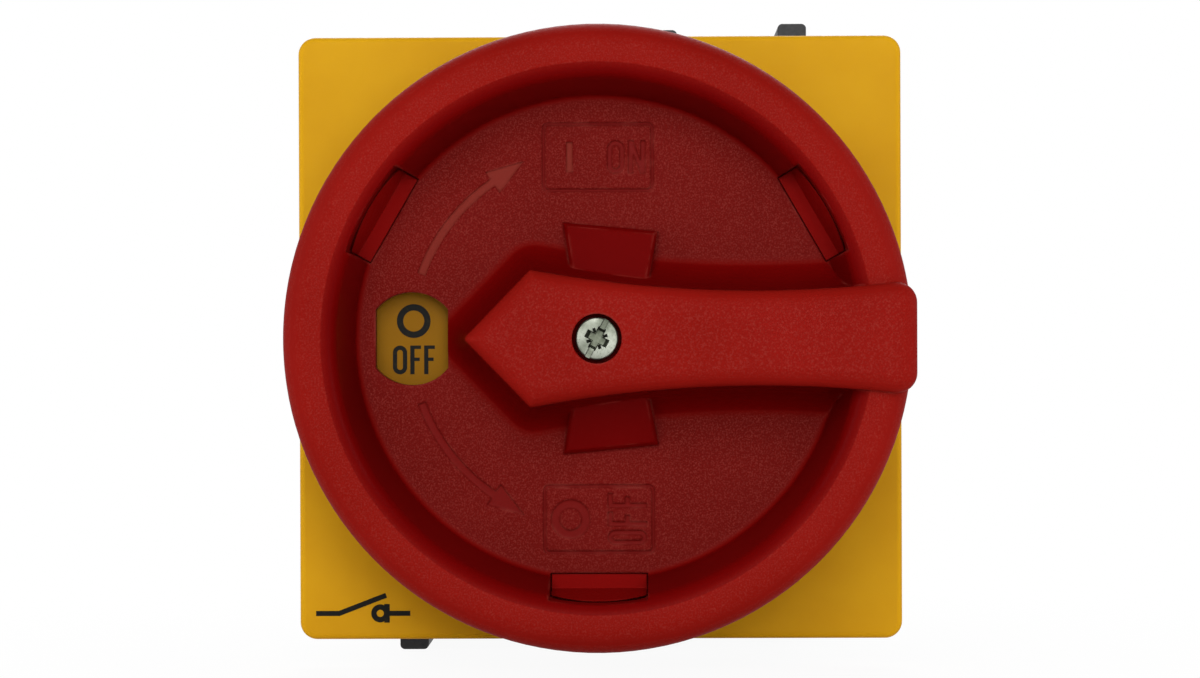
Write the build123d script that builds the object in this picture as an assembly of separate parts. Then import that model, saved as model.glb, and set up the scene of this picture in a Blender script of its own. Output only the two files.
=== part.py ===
from build123d import *
import math
import os

# Rotary isolator switch for mounting in a panel or door.
# The pieces are drawn with the turning axis on Z, the operator on the +Z side, and Z = 0 on the front
# surface of the panel. save() then stands the switch up: the front faces -Y and the top is +Z.
# All sizes are in millimetres.

# Front plate and the panel it is screwed to
plate_size = 60.0
plate_thickness = 4.0
plate_corner = 1.7
plate_edge = 0.6
panel_thickness = 2.5
fixing_pitch = 36.0
gasket_width = 2.2
gasket_depth = 1.5
gasket_margin = 1.9

# Label drum, its bearing and the locking ring on the front plate
drum_r = 21.9
drum_height = 8.0
drum_wall = 1.6
label_thickness = 1.6
label_seat = 0.8
bearing_wall = 1.6
bearing_web = 3.2
ring_thickness = 1.2

# Knob, from the label drum outwards and from the plate upwards
label_gap = 1.0
floor_thickness = 2.0
dish_depth = 9.0
dish_draft = 1.6
land_edge = 2.0
dish_fillet = 0.8
rim_edge = 2.6
rim_roof = 2.0
skirt_thickness = 2.0
inner_skirt_thickness = 0.7
skirt_lift = 0.8
hub_r = 7.5
bush_side = 9.0
bush_journal_r = 5.0

# Grip bar on the knob
grip_rise = 2.0
grip_apex_x = -12.6
grip_shoulder_x = -6.3
grip_shoulder_half = 6.5
grip_waist_x = 12.5
grip_waist_half = 4.5
grip_end_half = 5.45
grip_end_reach = 0.25
grip_corner = 1.9
grip_point_r = 0.4
grip_slope = 1.6
grip_slope_height = 1.5
grip_slope_turn = 72.0
grip_slope_steps = 6
grip_wall = 2.1
grip_roof = 3.2
flare_reach = 3.4
flare_height = 7.5
flare_steps = 12
gusset_height = 3.5
gusset_toe = 0.7
gusset_reach_left = 4.7
gusset_reach_right = 3.8
gusset_half_inner = 3.5
gusset_half_outer = 4.6
gusset_offset_x = 1.2
gusset_edge = 0.35

# Marks sunk into the dish
mark_depth = 0.2
mark_line = 0.3
mark_arrow_r = 18.2
mark_arrow_line = 0.8
mark_arrow_head = 3.6
mark_arrow_head_half = 1.2
mark_frame_length = 10.8
mark_frame_height = 6.7
mark_frame_r = 17.5
mark_arrow_start = 160.0
mark_arrow_end = 124.0
mark_sign_x = 2.75
mark_bar_height = 2.9
mark_bar_width = 0.6
mark_ring_d = 3.8
mark_ring_line = 0.85
on_height = 3.2
on_length = 3.7
off_height = 3.8
off_length = 5.0
letter_line = 0.48
letter_gap = 0.35

# Window over the label
window_d = 9.0
window_width = 7.0
window_inset = 3.85

# Lock slides for padlocks, and the shackle opening above each
slide_count = 3
slide_first_angle = 30.0
slide_width = 9.2
slide_depth = 2.3
slide_shelf = 1.4
slide_sink = 0.3
slide_foot = 1.5
slide_foot_ear = 0.9
slide_foot_lip = 0.4
slide_play = 0.1
shackle_width = 9.0
shackle_height = 5.0
notch_width = 10.0
retainer_thickness = 1.0
retainer_lift = 1.0
stake_r = 1.3
stake_tip_r = 0.7
lock_spring_r = 0.75
lock_spring_wire = 0.25

# Shaft and fasteners
shaft_side = 6.0
shaft_end_r = 2.9
shaft_thread_depth = 5.0
handle_screw_r = 1.25
handle_screw_head_r = 2.05
handle_screw_head = 1.7
handle_screw_sink = 0.8
handle_screw_well_play = 0.3
washer_r = 1.9
washer_thickness = 0.3
plate_screw_r = 2.0
plate_screw_core_r = 1.6
plate_screw_head_r = 3.75
tie_bolt_r = 1.5
tie_bolt_head_r = 2.75
tie_bolt_head = 2.0
tie_bolt_y = 17.0
tie_nut_flats = 5.5
tie_nut_height = 2.4
flange_nut_side = 7.0
flange_nut_height = 3.2

# Stack behind the panel
flange_thickness = 5.5
flange_edge = 4.5
housing_length = 10.0
housing_step = 1.5
front_wall = 1.5
chamber_length = 13.0
chamber_wall = 1.5
chamber_corner = 2.5
cover_thickness = 3.0
barrier_thickness = 3.0
barrier_long = 9.8
barrier_longest = 10.4
barrier_short = 4.5
barrier_spread = 6.6
barrier_spread_outer = 7.0

# Detent
wheel_r = 9.0
wheel_notch_r = 1.4
wheel_thickness = 4.0
stop_arm_r = 11.3
stop_arm_width = 5.0
detent_cavity_r = 12.0
detent_spring_thickness = 0.4
detent_spring_width = 3.2
detent_spring_span = 10.0
turn_angle = 90.0
stop_slack = 1.5

# Contacts and terminals
cam_high_r = 9.0
contact_travel = 2.5
cam_track = 6.4
cam_hub_r = 5.8
journal_r = 4.9
contact_y = 7.0
contact_r = 1.5
contact_tip = 0.45
contact_width = 5.0
strip_thickness = 1.0
bridge_half = 8.4
plunger_half = 2.6
plunger_nose_half = 2.5
plunger_tail = 3.0
contact_spring_r = 1.8
contact_spring_wire = 0.5
contact_spring_bore = 1.7
spring_room = 2.5
terminal_x = 13.0
clamp_length = 5.0
clamp_wall = 0.8
clamp_thread = 1.5
wire_room = 4.0
wire_entry_width = 4.6
terminal_screw_r = 1.5
terminal_screw_head_r = 2.6
terminal_screw_head = 2.0

# Clearances
running = 0.1
sliding = 0.2
free = 0.4
fitting = 0.05
screw_play = 0.15
stop_gap = 0.5

# Radii of the knob and the locking ring, each built on the one inside it
slide_in_r = drum_r + stop_gap + slide_foot_lip
slot_in_r = slide_in_r - slide_play
slide_out_r = slide_in_r + slide_depth
slot_out_r = slide_out_r + slide_play
inner_skirt_r = slot_out_r + inner_skirt_thickness
ring_in_r = inner_skirt_r + free
ring_out_r = ring_in_r + ring_thickness
skirt_in_r = ring_out_r + free
knob_r = skirt_in_r + skirt_thickness
land_in_r = slot_out_r - sliding
dish_r = land_in_r - dish_draft
stake_circle_r = (slot_in_r + inner_skirt_r) / 2

# Levels in front of the panel
drum_top = plate_thickness + drum_height
label_bottom = drum_top - label_thickness
floor_bottom = drum_top + label_gap
floor_top = floor_bottom + floor_thickness
rim_top = floor_top + dish_depth
roof_bottom = rim_top - rim_roof
grip_top = rim_top + grip_rise
skirt_bottom = plate_thickness + skirt_lift
ring_top = roof_bottom - skirt_lift
retainer_bottom = plate_thickness + retainer_lift
retainer_top = retainer_bottom + retainer_thickness
slide_top = floor_top - slide_sink
foot_top = floor_bottom - running
foot_bottom = foot_top - slide_foot
lock_travel = foot_bottom - sliding - retainer_top
slide_peak = floor_top - sliding + lock_travel
hub_bottom = plate_thickness + slide_foot_lip + sliding
bush_top = floor_bottom - free
shaft_top = bush_top - running
screw_seat = grip_top - handle_screw_sink - handle_screw_head
spring_bore_depth = 2.2

# Levels behind the panel
flange_front = -panel_thickness
flange_back = flange_front - flange_thickness
housing_back = flange_back - housing_length
chamber_backs = [housing_back - chamber_length, housing_back - 2 * chamber_length]
cover_back = chamber_backs[1] - cover_thickness

# Contact line, worked outwards from the cam
strip_x = cam_high_r + 2 * stop_gap
fixed_tip_x = strip_x + strip_thickness + contact_tip
bridge_tip_x = fixed_tip_x + fitting + contact_travel
bridge_x = bridge_tip_x + stop_gap
bridge_back_x = bridge_x + strip_thickness
guide_x = bridge_back_x + free
tail_x = bridge_back_x + plunger_tail
wall_x = tail_x + spring_room
body_half = wall_x + chamber_wall
contact_pocket_y = bridge_half + strip_thickness + strip_thickness + free
riser_y = bridge_half + strip_thickness
terminal_y = body_half - chamber_wall - sliding - stop_gap - clamp_length / 2
clamp_x = terminal_x + wire_room
terminal_head_x = clamp_x + clamp_thread + stop_gap
flange_half = fixing_pitch / 2 + flange_edge
detent_spring_y = wheel_r + 2 * detent_spring_thickness
well_r = hub_r + free + stop_gap
bearing_r = bush_journal_r + running
fixing_points = [(x * fixing_pitch / 2, y * fixing_pitch / 2) for x in (-1, 1) for y in (-1, 1)]
slide_angles = [slide_first_angle + i * 360 / slide_count for i in range(slide_count)]


def block(x0, x1, y0, y1, z0, z1):
    """A box between two corners."""
    shape = Box(abs(x1 - x0), abs(y1 - y0), abs(z1 - z0))
    return Pos((x0 + x1) / 2, (y0 + y1) / 2, (z0 + z1) / 2) * shape


def rod(r, z0, z1, x=0, y=0):
    """A round bar along Z."""
    return Pos(x, y, (z0 + z1) / 2) * Cylinder(r, abs(z1 - z0))


def rod_x(r, x0, x1, y=0, z=0):
    """A round bar along X."""
    return Pos((x0 + x1) / 2, y, z) * Rot(0, 90, 0) * Cylinder(r, abs(x1 - x0))


def ring(r_out, r_in, z0, z1):
    """A flat ring round the Z axis."""
    return rod(r_out, z0, z1) - rod(r_in, z0 - 1, z1 + 1)


def prism(sketch, z0, z1):
    """A flat outline raised from one level to another."""
    return Pos(0, 0, z0) * extrude(sketch, amount=z1 - z0, dir=(0, 0, 1))


def rounded_square(half, r, z0, z1):
    """A square slab round the Z axis with rounded corners."""
    return prism(RectangleRounded(2 * half, 2 * half, r), z0, z1)


def turned(points, radii):
    """A solid turned round Z from an outline of (radius, height) points, with a corner radius for each."""
    path = FilletPolyline(*[(r, 0, z) for r, z in points], radius=radii, close=True)
    return revolve(make_face(path), axis=Axis.Z)


def save(name, *shapes):
    """Stand the pieces up in the switch's own frame and write them as one node."""
    solids = [solid for shape in shapes for solid in (Rot(90, 0, 0) * shape).solids()]
    export_step(Compound(children=solids), f"parts/{name}.step")


os.makedirs("parts", exist_ok=True)


# Front plate: base, label drum with its disc, bearing for the drive bush, and the locking ring

def screw_gap_half_angle():
    """Half the angle that a fixing screw's head takes out of the locking ring."""
    return math.degrees(math.asin((plate_screw_head_r + free) / ring_in_r))


def sector(r_out, r_in, z0, z1, middle, half_angle):
    """A piece of a ring, centred on an angle."""
    reach = 2 * r_out
    spread = math.radians(half_angle)
    corners = [(0, 0), (reach, -reach * math.tan(spread)), (reach, reach * math.tan(spread))]
    wedge = prism(make_face(Polyline(*corners, close=True)), z0, z1)
    return ring(r_out, r_in, z0, z1) & (Rot(0, 0, middle) * wedge)


def front_plate():
    """The square plate with its drum and locking ring."""
    half = plate_size / 2
    base = rounded_square(half, plate_corner, 0, plate_thickness)
    base = fillet(base.faces().sort_by(Axis.Z)[-1].edges(), plate_edge)
    bearing_bottom = plate_thickness - bearing_web
    hollow_r = drum_r - drum_wall
    plate = base + rod(drum_r, 0, label_bottom)
    plate = plate - ring(hollow_r, well_r + bearing_wall, plate_thickness, drum_top)
    plate = plate - rod(drum_r - label_seat, label_bottom - label_seat, drum_top)
    plate = plate - rod(well_r + bearing_wall, -1, bearing_bottom)
    plate = plate - rod(well_r, plate_thickness, drum_top + 1) - rod(bearing_r, -1, drum_top)
    for x, y in fixing_points:
        plate = plate - rod(plate_screw_head_r + free, plate_thickness, drum_top + 1, x, y)
    wall = ring(ring_out_r, ring_in_r, plate_thickness - plate_edge, ring_top)
    for angle in slide_angles:
        notch = block(ring_in_r - 1, ring_out_r + 1, -notch_width / 2, notch_width / 2,
                      floor_top - stop_gap, ring_top + 1)
        wall = wall - Rot(0, 0, angle) * notch
    for x, y in fixing_points:
        angle = math.degrees(math.atan2(y, x))
        wall = wall - sector(ring_out_r + 1, ring_in_r - 1, plate_thickness, ring_top + 1,
                             angle, screw_gap_half_angle())
    plate = plate + wall
    outer = half - gasket_margin + fitting
    inner = half - gasket_margin - gasket_width - fitting
    groove = rounded_square(outer, plate_corner, -1, gasket_depth)
    plate = plate - (groove - rounded_square(inner, plate_corner, -2, gasket_depth + 1))
    for x, y in fixing_points:
        plate = plate - rod(plate_screw_r + screw_play, -1, plate_thickness + 1, x, y)
        sink = plate_screw_head_r - plate_screw_r
        cone = Pos(x, y, plate_thickness - sink / 2) * Cone(
            plate_screw_r + screw_play, plate_screw_head_r + screw_play, sink)
        plate = plate - cone
    return plate


def label_disc():
    """The disc that closes the drum and carries the printed words, with a step that snaps into the drum."""
    disc = rod(drum_r, label_bottom, drum_top)
    disc = disc + rod(drum_r - label_seat - fitting, label_bottom - label_seat, label_bottom)
    disc = disc - rod(well_r, 0, drum_top + 1)
    for x, y in fixing_points:
        disc = disc - rod(plate_screw_head_r + free, 0, drum_top + 1, x, y)
    return disc


def plate_gasket():
    """Square rubber ring pressed into the groove, flush with the back of the plate."""
    outer = plate_size / 2 - gasket_margin
    slab = rounded_square(outer, plate_corner, 0, gasket_depth)
    return slab - rounded_square(outer - gasket_width, plate_corner - fitting, -1, gasket_depth + 1)


def cross_recess(reach, width, depth, top):
    """A cross-shaped driver recess below a level."""
    bar = block(-reach, reach, -width / 2, width / 2, top - depth, top + 1)
    return bar + Rot(0, 0, 90) * bar


def plate_screws():
    """Four countersunk screws: a neck in the plate, the full thread in the panel, its core in the nut."""
    head_top = plate_thickness - running
    sink = plate_screw_head_r - plate_screw_r
    screws = []
    for x, y in fixing_points:
        screw = Pos(0, 0, head_top - sink / 2) * Cone(plate_screw_r, plate_screw_head_r, sink)
        screw = screw + rod(plate_screw_core_r, flange_back + sliding, head_top - sink)
        screw = screw + rod(plate_screw_r, flange_front, 0)
        screw = screw - cross_recess(2.2, 0.8, 1.3, head_top)
        screws.append(Pos(x, y, 0) * screw)
    return screws


def shaft_seal():
    """Rubber ring in the bottom of the well, under the knob's hub."""
    return ring(hub_r + free + stop_gap - sliding, bush_journal_r + free, plate_thickness,
                hub_bottom - running)


save("front_plate", front_plate())
save("label_disc", label_disc())
save("plate_gasket", plate_gasket())
save("plate_screws", *plate_screws())
save("shaft_seal", shaft_seal())


# Knob

def grip_outline(inset=0.0):
    """Plan of the grip bar at a distance inside its foot: arrow point, hollow sides, square end."""
    end_x = knob_r + grip_end_reach
    apex = (grip_apex_x, 0)
    upper = (grip_shoulder_x, grip_shoulder_half)
    lower = (grip_shoulder_x, -grip_shoulder_half)
    upper_end = (end_x, grip_end_half)
    lower_end = (end_x, -grip_end_half)
    outline = (
        Line(apex, upper)
        + ThreePointArc(upper, (grip_waist_x, grip_waist_half), upper_end)
        + Line(upper_end, lower_end)
        + ThreePointArc(lower_end, (grip_waist_x, -grip_waist_half), lower)
        + Line(lower, apex)
    )
    plan = make_face(outline)
    if inset > 0:
        plan = offset(plan, -inset, kind=Kind.INTERSECTION)
    plan = fillet(plan.vertices().sort_by(Axis.X)[-2:], grip_corner - inset)
    return fillet(plan.vertices().sort_by(Axis.X)[:3], grip_point_r)


def grip_bar():
    """The raised bar, from inside the dish floor upwards, with a rounded slope round its top face."""
    bar = prism(grip_outline(), floor_bottom, grip_top - grip_slope_height)
    sections = []
    for step in range(grip_slope_steps + 1):
        turn = math.radians(grip_slope_turn)
        angle = turn * step / grip_slope_steps
        inset = grip_slope * (1 - math.cos(angle)) / (1 - math.cos(turn))
        level = grip_top - grip_slope_height * (1 - math.sin(angle) / math.sin(turn))
        sections.append(Pos(0, 0, level) * grip_outline(inset))
    return bar + loft(sections, ruled=True)


def grip_flare():
    """The hollow curve between the sides of the grip and the dish floor, as sections one above another."""
    sections = []
    for step in range(flare_steps + 1):
        turn = math.pi / 2 * step / flare_steps
        reach = flare_reach * (1 - math.sin(turn))
        level = floor_top + flare_height * (1 - math.cos(turn))
        sections.append(Pos(0, 0, level) * offset(grip_outline(), reach + fitting))
    flare = loft(sections, ruled=True)
    return flare & rod(land_in_r, floor_bottom, grip_top)


def gussets():
    """Two smooth ramps from the dish floor up to the sides of the grip, at the hub."""
    inner_y = grip_waist_half
    outer_left = grip_shoulder_half + gusset_reach_left
    outer_right = grip_shoulder_half + gusset_reach_right
    profile = Polyline((0, inner_y, floor_bottom), (0, outer_left, floor_bottom),
                       (0, outer_left, floor_top + gusset_toe), (0, inner_y, floor_top + gusset_height),
                       close=True)
    reach = gusset_half_outer
    ramp = Pos(-reach, 0, 0) * extrude(make_face(profile), amount=2 * reach, dir=(1, 0, 0))
    plan = make_face(Polyline((-gusset_half_inner, inner_y), (-gusset_half_outer, outer_left),
                              (gusset_half_outer, outer_right), (gusset_half_inner, inner_y), close=True))
    ramp = ramp & prism(plan, floor_bottom, floor_top + gusset_height)
    ramp = chamfer(ramp.faces().sort_by(Axis.Z)[-1].edges(), gusset_edge)
    ramp = Pos(gusset_offset_x, 0, 0) * ramp
    return ramp + mirror(ramp, about=Plane.XZ)


def letter(sign, width, height):
    """One capital letter, centred, as a flat outline."""
    line = letter_line
    left = Pos(-(width - line) / 2, 0) * Rectangle(line, height)
    right = Pos((width - line) / 2, 0) * Rectangle(line, height)
    if sign == "O":
        return SlotOverall(height, width, rotation=90) - SlotOverall(height - 2 * line, width - 2 * line,
                                                                     rotation=90)
    if sign == "N":
        top_left = (-width / 2, height / 2)
        slant = make_face(Polyline(top_left, (-width / 2 + line, height / 2), (width / 2, -height / 2),
                                   (width / 2 - line, -height / 2), close=True))
        return left + right + slant
    top_bar = Pos(0, (height - line) / 2) * Rectangle(width, line)
    middle_bar = Pos(-line / 3, 0) * Rectangle(width - 2 * line / 3, line)
    return left + top_bar + middle_bar


def word(text, length, height):
    """A short word in capital letters, centred."""
    width = (length + letter_gap) / len(text) - letter_gap
    start = (width - length) / 2
    return Sketch() + [Pos(start + i * (width + letter_gap), 0) * letter(sign, width, height)
                       for i, sign in enumerate(text)]


def marks():
    """Everything sunk into the dish: two curved arrows, and the framed signs for on and off."""
    signs = []
    outer_frame = RectangleRounded(mark_frame_length, mark_frame_height, 2 * mark_line)
    inner_frame = RectangleRounded(mark_frame_length - 2 * mark_line, mark_frame_height - 2 * mark_line,
                                   mark_line)
    frame = outer_frame - inner_frame
    on_sign = Pos(-mark_sign_x, 0) * Rectangle(mark_bar_width, mark_bar_height)
    on_sign = on_sign + Pos(mark_sign_x, 0) * word("ON", on_length, on_height)
    off_sign = Pos(-mark_sign_x, 0) * (Circle(mark_ring_d / 2) - Circle(mark_ring_d / 2 - mark_ring_line))
    off_sign = off_sign + Pos(mark_sign_x, 0) * Rot(0, 0, 90) * word("OFF", off_length, off_height)
    signs.append(Pos(0, mark_frame_r) * (frame + on_sign))
    signs.append(Pos(0, -mark_frame_r) * (frame + off_sign))
    swing = mark_arrow_end - mark_arrow_start
    swept = CenterArc((0, 0), mark_arrow_r, mark_arrow_start, swing)
    outer = CenterArc((0, 0), mark_arrow_r + mark_arrow_line / 2, mark_arrow_start, swing)
    inner = CenterArc((0, 0), mark_arrow_r - mark_arrow_line / 2, mark_arrow_start, swing)
    shaft_mark = make_face(outer + Line(outer @ 1, inner @ 1) + inner + Line(inner @ 0, outer @ 0))
    along = swept % 1
    base = swept @ 1
    across = Vector(-along.Y, along.X)
    head = make_face(Polyline(base + across * mark_arrow_head_half, base - across * mark_arrow_head_half,
                              base + along * mark_arrow_head, close=True))
    arrow = shaft_mark + head
    signs.append(arrow)
    signs.append(mirror(arrow, about=Plane.XZ))
    return [prism(sign, floor_top - mark_depth, floor_top + 0.1) for sign in signs]


def knob():
    """The round handle: a double-walled cup with a sunk dish, grip bar, window and lock slots."""
    outline = [
        (0, floor_bottom), (slot_out_r, floor_bottom), (slot_out_r, retainer_top),
        (inner_skirt_r, retainer_top), (inner_skirt_r, roof_bottom), (skirt_in_r, roof_bottom),
        (skirt_in_r, skirt_bottom), (knob_r, skirt_bottom), (knob_r, rim_top),
        (land_in_r, rim_top), (dish_r, floor_top), (0, floor_top),
    ]
    radii = [0, 0, 0, 0, 0, 0, 0, 0.3, rim_edge, land_edge, dish_fillet, 0]
    cup = turned(outline, radii)
    end_pad = prism(grip_outline(), skirt_bottom, roof_bottom)
    end_pad = end_pad & block(skirt_in_r, knob_r + 1, -knob_r, knob_r, skirt_bottom, roof_bottom)
    shape = cup + grip_bar() + grip_flare() + gussets() + end_pad
    shape = shape + rod(hub_r, hub_bottom, floor_bottom)
    cheek_in = slide_width / 2 + slide_foot_ear + slide_play
    for angle in slide_angles:
        cheek = block(slot_in_r, slot_out_r + fitting, cheek_in, cheek_in + 1, retainer_top, floor_bottom)
        shape = shape + Rot(0, 0, angle) * (cheek + mirror(cheek, about=Plane.XZ))
        stake = rod(stake_r, retainer_top, floor_bottom, stake_circle_r)
        stake = stake + rod(stake_tip_r, retainer_bottom, retainer_top, stake_circle_r)
        shape = shape + Rot(0, 0, angle + 60) * stake
    shape = shape - ring(skirt_in_r, inner_skirt_r, 0, roof_bottom)
    for angle in slide_angles:
        slot_half = slide_width / 2 + slide_play
        slot = block(slot_in_r, slot_out_r + 1, -slot_half, slot_half, floor_bottom - 0.1, rim_top + 1)
        slot = slot & rod(slot_out_r, 0, rim_top + 2)
        shackle = block(slot_in_r + slide_depth / 2, knob_r + 2, -shackle_width / 2, shackle_width / 2,
                        floor_top, floor_top + shackle_height)
        shackle = fillet(shackle.edges().filter_by(Axis.X), shackle_height / 4)
        shape = shape - Rot(0, 0, angle) * (slot + shackle)
    window_x = drum_r - window_inset
    window = Circle(window_d / 2) & Rectangle(window_width, window_d)
    shape = shape - Pos(-window_x, 0, 0) * prism(window, floor_bottom - 1, floor_top + 1)
    socket_half = bush_side / 2 + fitting
    shape = shape - block(-socket_half, socket_half, -socket_half, socket_half, 0, bush_top + running)
    shape = shape - rod(handle_screw_r + screw_play, 0, grip_top + 1)
    well_r = handle_screw_head_r + handle_screw_well_play
    shape = shape - rod(well_r, screw_seat - washer_thickness, grip_top + 1)
    hollow_half = grip_waist_half - grip_wall
    shape = shape - block(hub_r + stop_gap, dish_r, -hollow_half, hollow_half, floor_bottom - 1,
                          grip_top - grip_roof)
    for mark in marks():
        shape = shape - mark
    return shape


def handle_screw():
    """Pan-head screw through the grip into the end of the shaft."""
    head = rod(handle_screw_head_r, screw_seat, screw_seat + handle_screw_head)
    head = fillet(head.faces().sort_by(Axis.Z)[-1].edges(), 0.5)
    shank = rod(handle_screw_r, shaft_top - shaft_thread_depth + stop_gap, screw_seat)
    return head + shank - cross_recess(1.3, 0.55, 1.2, screw_seat + handle_screw_head)


def drive_bush():
    """Brass bush: square body in the knob, round journal in the plate, square bore for the shaft."""
    half = bush_side / 2
    body = block(-half, half, -half, half, hub_bottom, bush_top)
    body = body + rod(bush_journal_r, plate_thickness - bearing_web + free, hub_bottom)
    bore = shaft_side / 2 + fitting
    return body - block(-bore, bore, -bore, bore, -1, bush_top + 1)


def lock_slide(angle):
    """Sprung slide: a shelf to press on, a steep back that closes the shackle opening, and a wide foot."""
    half = slide_width / 2
    profile = Polyline((slide_in_r, 0, foot_bottom), (slide_out_r + 1, 0, foot_bottom),
                       (slide_out_r + 1, 0, slide_peak), (slide_out_r, 0, slide_peak),
                       (slide_in_r + slide_shelf, 0, slide_top), (slide_in_r, 0, slide_top), close=True)
    body = Pos(0, half, 0) * extrude(make_face(profile), amount=slide_width, dir=(0, -1, 0))
    ear = half + slide_foot_ear
    body = body + block(slide_in_r - slide_foot_lip, slide_out_r + 1, -ear, ear, foot_bottom, foot_top)
    body = body & rod(slide_out_r, 0, slide_peak + 1)
    spring_x = slide_in_r + slide_depth / 2
    bore = rod(lock_spring_r + running, 0, foot_bottom + spring_bore_depth, spring_x)
    return Rot(0, 0, angle) * (body - bore)


def lock_spring(angle):
    """Space taken by the coil spring between a lock slide and the retainer ring."""
    top = foot_bottom + spring_bore_depth - fitting
    coil = ring(lock_spring_r, lock_spring_r - lock_spring_wire, retainer_top, top)
    return Rot(0, 0, angle) * Pos(slide_in_r + slide_depth / 2, 0, 0) * coil


def slide_retainer():
    """Thin ring staked under the knob: the floor that the lock springs stand on."""
    plate = ring(inner_skirt_r, drum_r + stop_gap + sliding, retainer_bottom, retainer_top)
    for angle in slide_angles:
        plate = plate - Rot(0, 0, angle + 60) * rod(stake_tip_r, 0, floor_bottom, stake_circle_r)
    return plate


save("knob", knob())
save("handle_screw", handle_screw())
save("screw_washer", ring(washer_r, handle_screw_r + fitting, screw_seat - washer_thickness, screw_seat))
save("drive_bush", drive_bush())
save("slide_retainer", slide_retainer())
for number, angle in enumerate(slide_angles, start=1):
    save(f"lock_slide_{number}", lock_slide(angle))
    save(f"lock_spring_{number}", lock_spring(angle))


# Shaft, flange and detent

def shaft():
    """Square steel shaft from the knob to the rear cover, with a tapped front end and a round rear end."""
    half = shaft_side / 2
    square_back = chamber_backs[1] + sliding
    bar = block(-half, half, -half, half, square_back, shaft_top)
    bar = chamfer(bar.edges().filter_by(Axis.Z), 0.3)
    bar = bar + rod(shaft_end_r, chamber_backs[1] - cover_thickness + 1 + sliding, square_back)
    return bar - rod(handle_screw_r, shaft_top - shaft_thread_depth, shaft_top + 1)


def tie_holes(z0, z1):
    """The two holes of the tie bolts."""
    r = tie_bolt_r + screw_play
    return rod(r, z0, z1, 0, tie_bolt_y) + rod(r, z0, z1, 0, -tie_bolt_y)


def tie_nut_outline():
    """Hexagon of a tie bolt's nut."""
    return RegularPolygon(tie_nut_flats / math.sqrt(3), 6)


def mounting_flange():
    """Black slab behind the panel, with captive square nuts for the plate screws."""
    slab = rounded_square(flange_half, chamber_corner, flange_back, flange_front)
    slab = chamfer(slab.faces().sort_by(Axis.Z)[-1].edges(), 0.4)
    slab = slab - rod(journal_r + stop_gap, flange_back - 1, 0) - tie_holes(flange_back - 1, 0)
    pocket = flange_nut_side / 2 + running
    for x, y in fixing_points:
        slab = slab - rod(plate_screw_r + screw_play, flange_back - 1, 0, x, y)
        slab = slab - Pos(x, y, 0) * block(-pocket, pocket, -pocket, pocket, flange_back - 1,
                                           flange_back + flange_nut_height)
    for y in (-tie_bolt_y, tie_bolt_y):
        nut_room = offset(tie_nut_outline(), running)
        slab = slab - Pos(0, y, 0) * prism(nut_room, flange_front - tie_nut_height - sliding, 0)
    return slab


def flange_nuts():
    """Square nuts in the back of the flange."""
    half = flange_nut_side / 2
    nut = block(-half, half, -half, half, flange_back, flange_back + flange_nut_height)
    nut = nut - rod(plate_screw_core_r, flange_back - 1, 0)
    return [Pos(x, y, 0) * nut for x, y in fixing_points]


def stop_angles():
    """Middle angles of the two end stops, which the stop arm meets just past off and on."""
    arm_half = math.degrees(math.atan2(stop_arm_width / 2, wheel_r + stop_gap))
    block_half = 5.0
    return turn_angle / 2 + arm_half + stop_slack + block_half, block_half


def detent_housing():
    """Housing of the snap action, open to the rear, with the two end stops inside."""
    half = body_half - housing_step
    front = flange_back - front_wall
    shell = rounded_square(half, chamber_corner, housing_back, flange_back)
    shell = shell - rod(detent_cavity_r, housing_back - 1, front)
    spring_room_back = housing_back + wheel_thickness + stop_gap
    reach = detent_spring_span + 2 * stop_gap
    shell = shell - block(-reach, reach, -detent_cavity_r, detent_cavity_r,
                          housing_back - 1, spring_room_back)
    spring_out = detent_spring_y + detent_spring_thickness + fitting
    for side in (-1, 1):
        for end in (-1, 1):
            seat_x = end * (detent_spring_span - 2)
            inner = block(seat_x, end * reach, side * (wheel_r - free), side * detent_spring_y,
                          housing_back, spring_room_back)
            outer = block(seat_x, end * reach, side * spring_out, side * detent_cavity_r,
                          housing_back, spring_room_back)
            shell = shell + inner + outer
    middle, block_half = stop_angles()
    for angle in (middle, -middle):
        shell = shell + sector(detent_cavity_r + 0.5, wheel_r + stop_gap, spring_room_back, front,
                               angle, block_half)
    shell = shell - rod(journal_r + running, front - 1, flange_back + 1)
    return shell - tie_holes(housing_back - 1, flange_back + 1)


def detent_wheel():
    """Star wheel with four notches, and the stop arm in front of it."""
    back = housing_back + sliding
    star_front = back + wheel_thickness
    star = rod(wheel_r, back, star_front)
    for i in range(4):
        notch = rod(wheel_notch_r, back - 1, star_front + 1, wheel_r)
        star = star - Rot(0, 0, 90 * i) * notch
    for i in range(4):
        flat = block(wheel_r - 0.9, wheel_r + 1, -wheel_r, wheel_r, back - 1, star_front + 1)
        star = star - Rot(0, 0, 90 * i) * flat
    front = flange_back - front_wall - sliding
    arm = block(0, stop_arm_r, -stop_arm_width / 2, stop_arm_width / 2, star_front, front)
    wheel = star + Rot(0, 0, turn_angle / 2) * arm + rod(journal_r + stop_gap, star_front, front)
    wheel = wheel + rod(journal_r, front, flange_back - fitting)
    bore = shaft_side / 2 + fitting
    return wheel - block(-bore, bore, -bore, bore, housing_back - 1, 0)


def detent_spring(side):
    """Flat steel strip with a bump in the middle that drops into a notch of the wheel."""
    t = detent_spring_thickness
    y = detent_spring_y
    tip = wheel_r - 1.3
    half = detent_spring_span
    spine = [(-half, y), (-2.0, y), (0, tip + t), (2.0, y), (half, y)]
    strip = make_face(Polyline(*spine, (half, y + t), (1.8, y + t), (0, tip + 2.2 * t), (-1.8, y + t),
                               (-half, y + t), close=True))
    middle = housing_back + sliding + wheel_thickness / 2
    shape = prism(strip, middle - detent_spring_width / 2, middle + detent_spring_width / 2)
    return shape if side > 0 else mirror(shape, about=Plane.XZ)


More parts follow.
